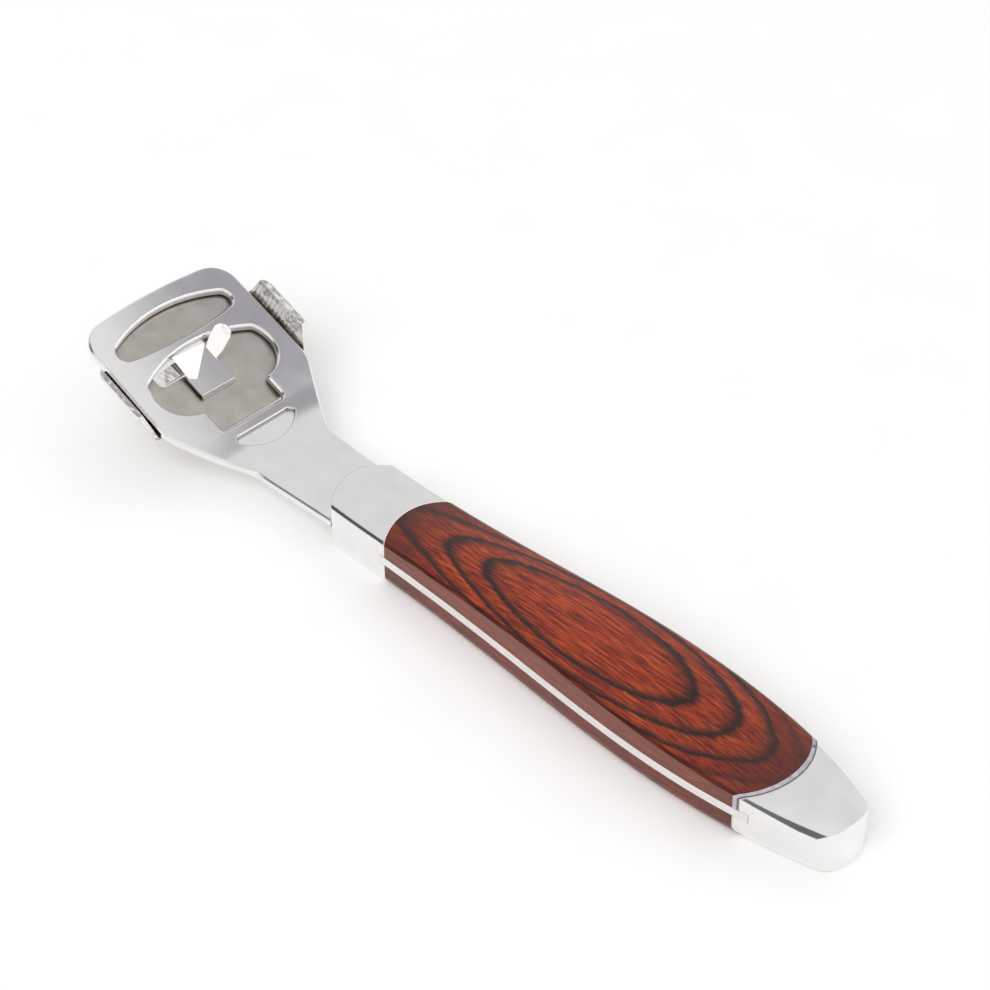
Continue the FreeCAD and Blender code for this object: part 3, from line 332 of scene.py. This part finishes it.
# Tumbled stainless: a warm grey satin without clear reflections, with painted shade in the creases. The latch
# and the ears are brighter and clearer, and the ears' thin sheet is slightly dented.
satin_steel, tree = new_material("tumbled_stainless_sheet")
place = add_node(tree, "ShaderNodeTexCoord")
mottle = add_node(tree, "ShaderNodeTexNoise", Vector=place.outputs["Object"], Scale=1 / (3 * MILLIMETRE),
                  Detail=3.0)
pits = add_node(tree, "ShaderNodeTexNoise", Vector=place.outputs["Object"], Scale=1 / (0.3 * MILLIMETRE),
                Detail=2.0)
head_place = add_node(tree, "ShaderNodeMapping", {"vector_type": "TEXTURE"}, in0=place.outputs["Object"],
                      Location=HEAD_PLACE, Rotation=(0, HEAD_TILT, 0))
head_axes = add_node(tree, "ShaderNodeSeparateXYZ", in0=head_place.outputs[0])
raised = add_node(tree, "ShaderNodeMapRange", Value=head_axes.outputs[2], in1=RAISED_START,
                  in2=RAISED_FULL)
floor_tone = add_node(tree, "ShaderNodeValToRGB", Fac=mottle.outputs[0],
                      stops=((0.3, "ADA7A1"), (0.7, "B9B4AE")))
tone = add_node(tree, "ShaderNodeMix", {"data_type": "RGBA"}, in0=raised.outputs[0],
                in6=floor_tone.outputs[0], in7=linear_colour("E9E7E4"))
floor_gloss = add_node(tree, "ShaderNodeMapRange", Value=mottle.outputs[0], in3=0.3, in4=0.42)
gloss = add_node(tree, "ShaderNodeMix", in0=raised.outputs[0], in2=floor_gloss.outputs[0], in3=0.14)
# Painted shade: where the ambient occlusion finds a crease or a recess, the colour darkens towards a warm
# dark grey.
painted_shade_occlusion = add_node(tree, "ShaderNodeAmbientOcclusion", {"samples": 6}, Distance=1.6 * MILLIMETRE)
painted_shade_amount = add_node(tree, "ShaderNodeMapRange", Value=painted_shade_occlusion.outputs["AO"], in1=0.2, in2=0.75,
                     in3=0.35, in4=1.0)
with_painted_shade = add_node(tree, "ShaderNodeMix", {"data_type": "RGBA"}, in0=painted_shade_amount.outputs[0],
                  in6=linear_colour("6A5D52"), in7=tone.outputs[2])
across = add_node(tree, "ShaderNodeMath", {"operation": "ABSOLUTE"}, in0=head_axes.outputs[1])
dented = add_node(tree, "ShaderNodeMapRange", Value=across.outputs[0], in1=EAR_START, in2=EAR_FULL,
                  in3=0.04, in4=0.9)
dent_depth = add_node(tree, "ShaderNodeMath", {"operation": "MULTIPLY"}, in0=dented.outputs[0],
                      in1=raised.outputs[0])
dents = add_node(tree, "ShaderNodeTexNoise", Vector=place.outputs["Object"], Scale=1 / (1.7 * MILLIMETRE),
                 Detail=1.0)
round_rim = add_node(tree, "ShaderNodeBevel", {"samples": 6}, Radius=0.15 * MILLIMETRE)
dent_bump = add_node(tree, "ShaderNodeBump", Strength=dent_depth.outputs[0], Distance=0.16 * MILLIMETRE,
                     Height=dents.outputs[0], Normal=round_rim.outputs[0])
pit_bump = add_node(tree, "ShaderNodeBump", Strength=0.1, Distance=0.02 * MILLIMETRE,
                    Height=pits.outputs[0], Normal=dent_bump.outputs[0])
steel = add_node(tree, "ShaderNodeBsdfPrincipled", Metallic=1.0, Base_Color=with_painted_shade.outputs[2],
                 Roughness=gloss.outputs[0], Normal=pit_bump.outputs[0])
add_node(tree, "ShaderNodeOutputMaterial", Surface=steel.outputs[0])
give(["guard_plate"], satin_steel)

# ---- Floor and studio light --------------------------------------------------------------------------------
# A white paper sweep under soft, broad light from both sides, as in a plain product photograph. The paper is
# nearly flat white and takes the soft shadow of the handle and of the raised head.

FLOOR_HALF = 3.0
shape = bmesh.new()
bmesh.ops.create_grid(shape, x_segments=1, y_segments=1, size=FLOOR_HALF)
floor_mesh = bpy.data.meshes.new("floor")
shape.to_mesh(floor_mesh)
shape.free()
floor = bpy.data.objects.new("floor", floor_mesh)
bpy.context.scene.collection.objects.link(floor)

# White paper: matt, with a faint cloud in its pulp every 17 mm or so. Seen directly or in the steel it is
# lifted to the backdrop's white, and the shadow on it stays.
CLOUDS_PER_METRE = 60.0
LIFT_SEEN, LIFT_MIRRORED = 0.11, 0.22
paper, tree = new_material("white_paper")
place = add_node(tree, "ShaderNodeTexCoord")
pulp = add_node(tree, "ShaderNodeTexNoise", Vector=place.outputs["Object"], Scale=CLOUDS_PER_METRE,
                Detail=3.0)
tone = add_node(tree, "ShaderNodeValToRGB", Fac=pulp.outputs[0], stops=((0.3, "FAF9F8"), (0.7, "FCFCFB")))
sheet = add_node(tree, "ShaderNodeBsdfDiffuse", Color=tone.outputs[0])
path = add_node(tree, "ShaderNodeLightPath")
seen = add_node(tree, "ShaderNodeMath", {"operation": "MAXIMUM"}, in0=path.outputs["Is Camera Ray"],
                in1=path.outputs["Is Transmission Ray"])
seen_lift = add_node(tree, "ShaderNodeMath", {"operation": "MULTIPLY"}, in0=seen.outputs[0], in1=LIFT_SEEN)
lift = add_node(tree, "ShaderNodeMath", {"operation": "MULTIPLY_ADD"}, in0=path.outputs["Is Glossy Ray"],
                in1=LIFT_MIRRORED, in2=seen_lift.outputs[0])
lifted = add_node(tree, "ShaderNodeEmission", Color=grey(1.0), Strength=lift.outputs[0])
both = add_node(tree, "ShaderNodeAddShader", in0=sheet.outputs[0], in1=lifted.outputs[0])
add_node(tree, "ShaderNodeOutputMaterial", Surface=both.outputs[0])
floor_mesh.materials.append(paper)

# The room is white. What the steel mirrors of it has a bright soft box above the grip's end, the glow of the
# left lamp, which brightens the latch's raised wing, and two dark gaps: one beyond that lamp, towards the
# head, which draws the dark lines along facets and rims, and one nearly overhead, which darkens the cap's
# facet. The far wall, beyond the head, is a little dimmer.
# name, direction, cosine at the zone's edge and where it is full, level outside, level inside
ZONES = (("soft_box", (-0.50, -0.48, 0.72), 0.86, 0.95, 0.97, 1.6),
         ("lamp_glow", (0.06, 0.72, 0.69), 0.955, 0.995, 1.0, 1.35),
         ("gap_beyond_lamp", (0.545, 0.48, 0.687), 0.93, 0.975, 1.0, 0.1),
         ("gap_overhead", (0.01, 0.425, 0.905), 0.965, 0.985, 1.0, 0.15))
ROOM_LIGHT = 0.66
FAR_WALL_LEVEL = 0.87
world = bpy.data.worlds.new("studio")
world.use_nodes = True
bpy.context.scene.world = world
tree = world.node_tree
tree.nodes.clear()
direction = add_node(tree, "ShaderNodeTexCoord")
levels = []
for name, toward, edge, full, outside, inside in ZONES:
    nearness = add_node(tree, "ShaderNodeVectorMath", {"operation": "DOT_PRODUCT"},
                        in0=direction.outputs["Generated"], in1=toward)
    zone = add_node(tree, "ShaderNodeMapRange", {"interpolation_type": "SMOOTHSTEP", "label": name},
                    Value=nearness.outputs["Value"], in1=edge, in2=full, in3=outside, in4=inside)
    levels.append(zone)
forward = add_node(tree, "ShaderNodeSeparateXYZ", in0=direction.outputs["Generated"])
far_wall = add_node(tree, "ShaderNodeMapRange", Value=forward.outputs[0], in1=0.1, in2=0.3, in3=1.0,
                    in4=FAR_WALL_LEVEL)
levels.append(far_wall)
mirrored = levels[0]
for factor in levels[1:]:
    mirrored = add_node(tree, "ShaderNodeMath", {"operation": "MULTIPLY"}, in0=mirrored.outputs[0],
                        in1=factor.outputs[0])
path = add_node(tree, "ShaderNodeLightPath")
room = add_node(tree, "ShaderNodeMix", in0=path.outputs["Is Glossy Ray"], in2=ROOM_LIGHT,
                in3=mirrored.outputs[0])
seen = add_node(tree, "ShaderNodeMath", {"operation": "MAXIMUM"}, in0=path.outputs["Is Camera Ray"],
                in1=path.outputs["Is Transmission Ray"])
strength = add_node(tree, "ShaderNodeMix", in0=seen.outputs[0], in2=room.outputs[0], in3=1.0)
sky = add_node(tree, "ShaderNodeBackground", Color=grey(1.0), Strength=strength.outputs[0])
add_node(tree, "ShaderNodeOutputWorld", Surface=sky.outputs[0])

# name, place, size, power
LAMPS = (("lamp_left", (-0.2, 1.1, 1.3), 1.2, 11.0), ("lamp_right", (0.5, -1.2, 1.2), 1.2, 2.5))
for name, spot, size, power in LAMPS:
    lamp = bpy.data.lights.new(name, "AREA")
    lamp.shape = "SQUARE"
    lamp.size = size
    lamp.energy = power
    holder = bpy.data.objects.new(name, lamp)
    holder.location = spot
    reach = math.sqrt(sum(c * c for c in spot))
    holder.rotation_euler = (math.acos(spot[2] / reach), 0, math.atan2(spot[1], spot[0]) + math.pi / 2)
    holder.visible_glossy = False
    bpy.context.scene.collection.objects.link(holder)

# A grey card held over the head. It shows only in what the steel mirrors, as the darker half of the head,
# and its left border fades into the white of the room.
CARD_LOW, CARD_HIGH, CARD_LEVEL = (0.086, -0.25), (0.146, -0.113), 0.25
CARD_FADE = 0.018
CARD_GREY, CARD_BORDER = (0.39, 0.38, 0.42, 1.0), grey(0.82)
shape = bmesh.new()
bmesh.ops.create_grid(shape, x_segments=1, y_segments=1, size=0.5)
bmesh.ops.scale(shape, vec=(CARD_HIGH[0] - CARD_LOW[0], CARD_HIGH[1] - CARD_LOW[1], 1), verts=shape.verts)
bmesh.ops.translate(shape, verts=shape.verts,
                    vec=((CARD_LOW[0] + CARD_HIGH[0]) / 2, (CARD_LOW[1] + CARD_HIGH[1]) / 2, CARD_LEVEL))
card_mesh = bpy.data.meshes.new("grey_card")
shape.to_mesh(card_mesh)
shape.free()
card = bpy.data.objects.new("grey_card", card_mesh)
bpy.context.scene.collection.objects.link(card)
for ray in ("camera", "diffuse", "transmission", "shadow", "volume_scatter"):
    setattr(card, "visible_" + ray, False)
card_grey, tree = new_material("grey_card")
place = add_node(tree, "ShaderNodeTexCoord")
axes = add_node(tree, "ShaderNodeSeparateXYZ", in0=place.outputs["Object"])
fade = add_node(tree, "ShaderNodeMapRange", {"interpolation_type": "SMOOTHSTEP"}, Value=axes.outputs[1],
                in1=CARD_HIGH[1] - CARD_FADE, in2=CARD_HIGH[1])
tone = add_node(tree, "ShaderNodeMix", {"data_type": "RGBA"}, in0=fade.outputs[0], in6=CARD_GREY,
                in7=CARD_BORDER)
glow = add_node(tree, "ShaderNodeEmission", Color=tone.outputs[2])
add_node(tree, "ShaderNodeOutputMaterial", Surface=glow.outputs[0])
card_mesh.materials.append(card_grey)

# ---- Camera ------------------------------------------------------------------------------------------------
# The photograph's own viewpoint: above the grip's end, to its left, looking down along the handle at about 40
# degrees, with a long lens.

CAMERA_PLACE = (-0.26975, 0.28721, 0.37867)
CAMERA_TURN = (49.532, 0.163, -134.430)
camera = bpy.data.cameras.new("camera")
camera.sensor_width = 36.0
camera.lens = 116.36
camera.clip_start = 0.01
camera_object = bpy.data.objects.new("camera", camera)
camera_object.location = CAMERA_PLACE
camera_object.rotation_euler = [math.radians(angle) for angle in CAMERA_TURN]
bpy.context.scene.collection.objects.link(camera_object)
bpy.context.scene.camera = camera_object
bpy.context.scene.view_settings.view_transform = "Standard"
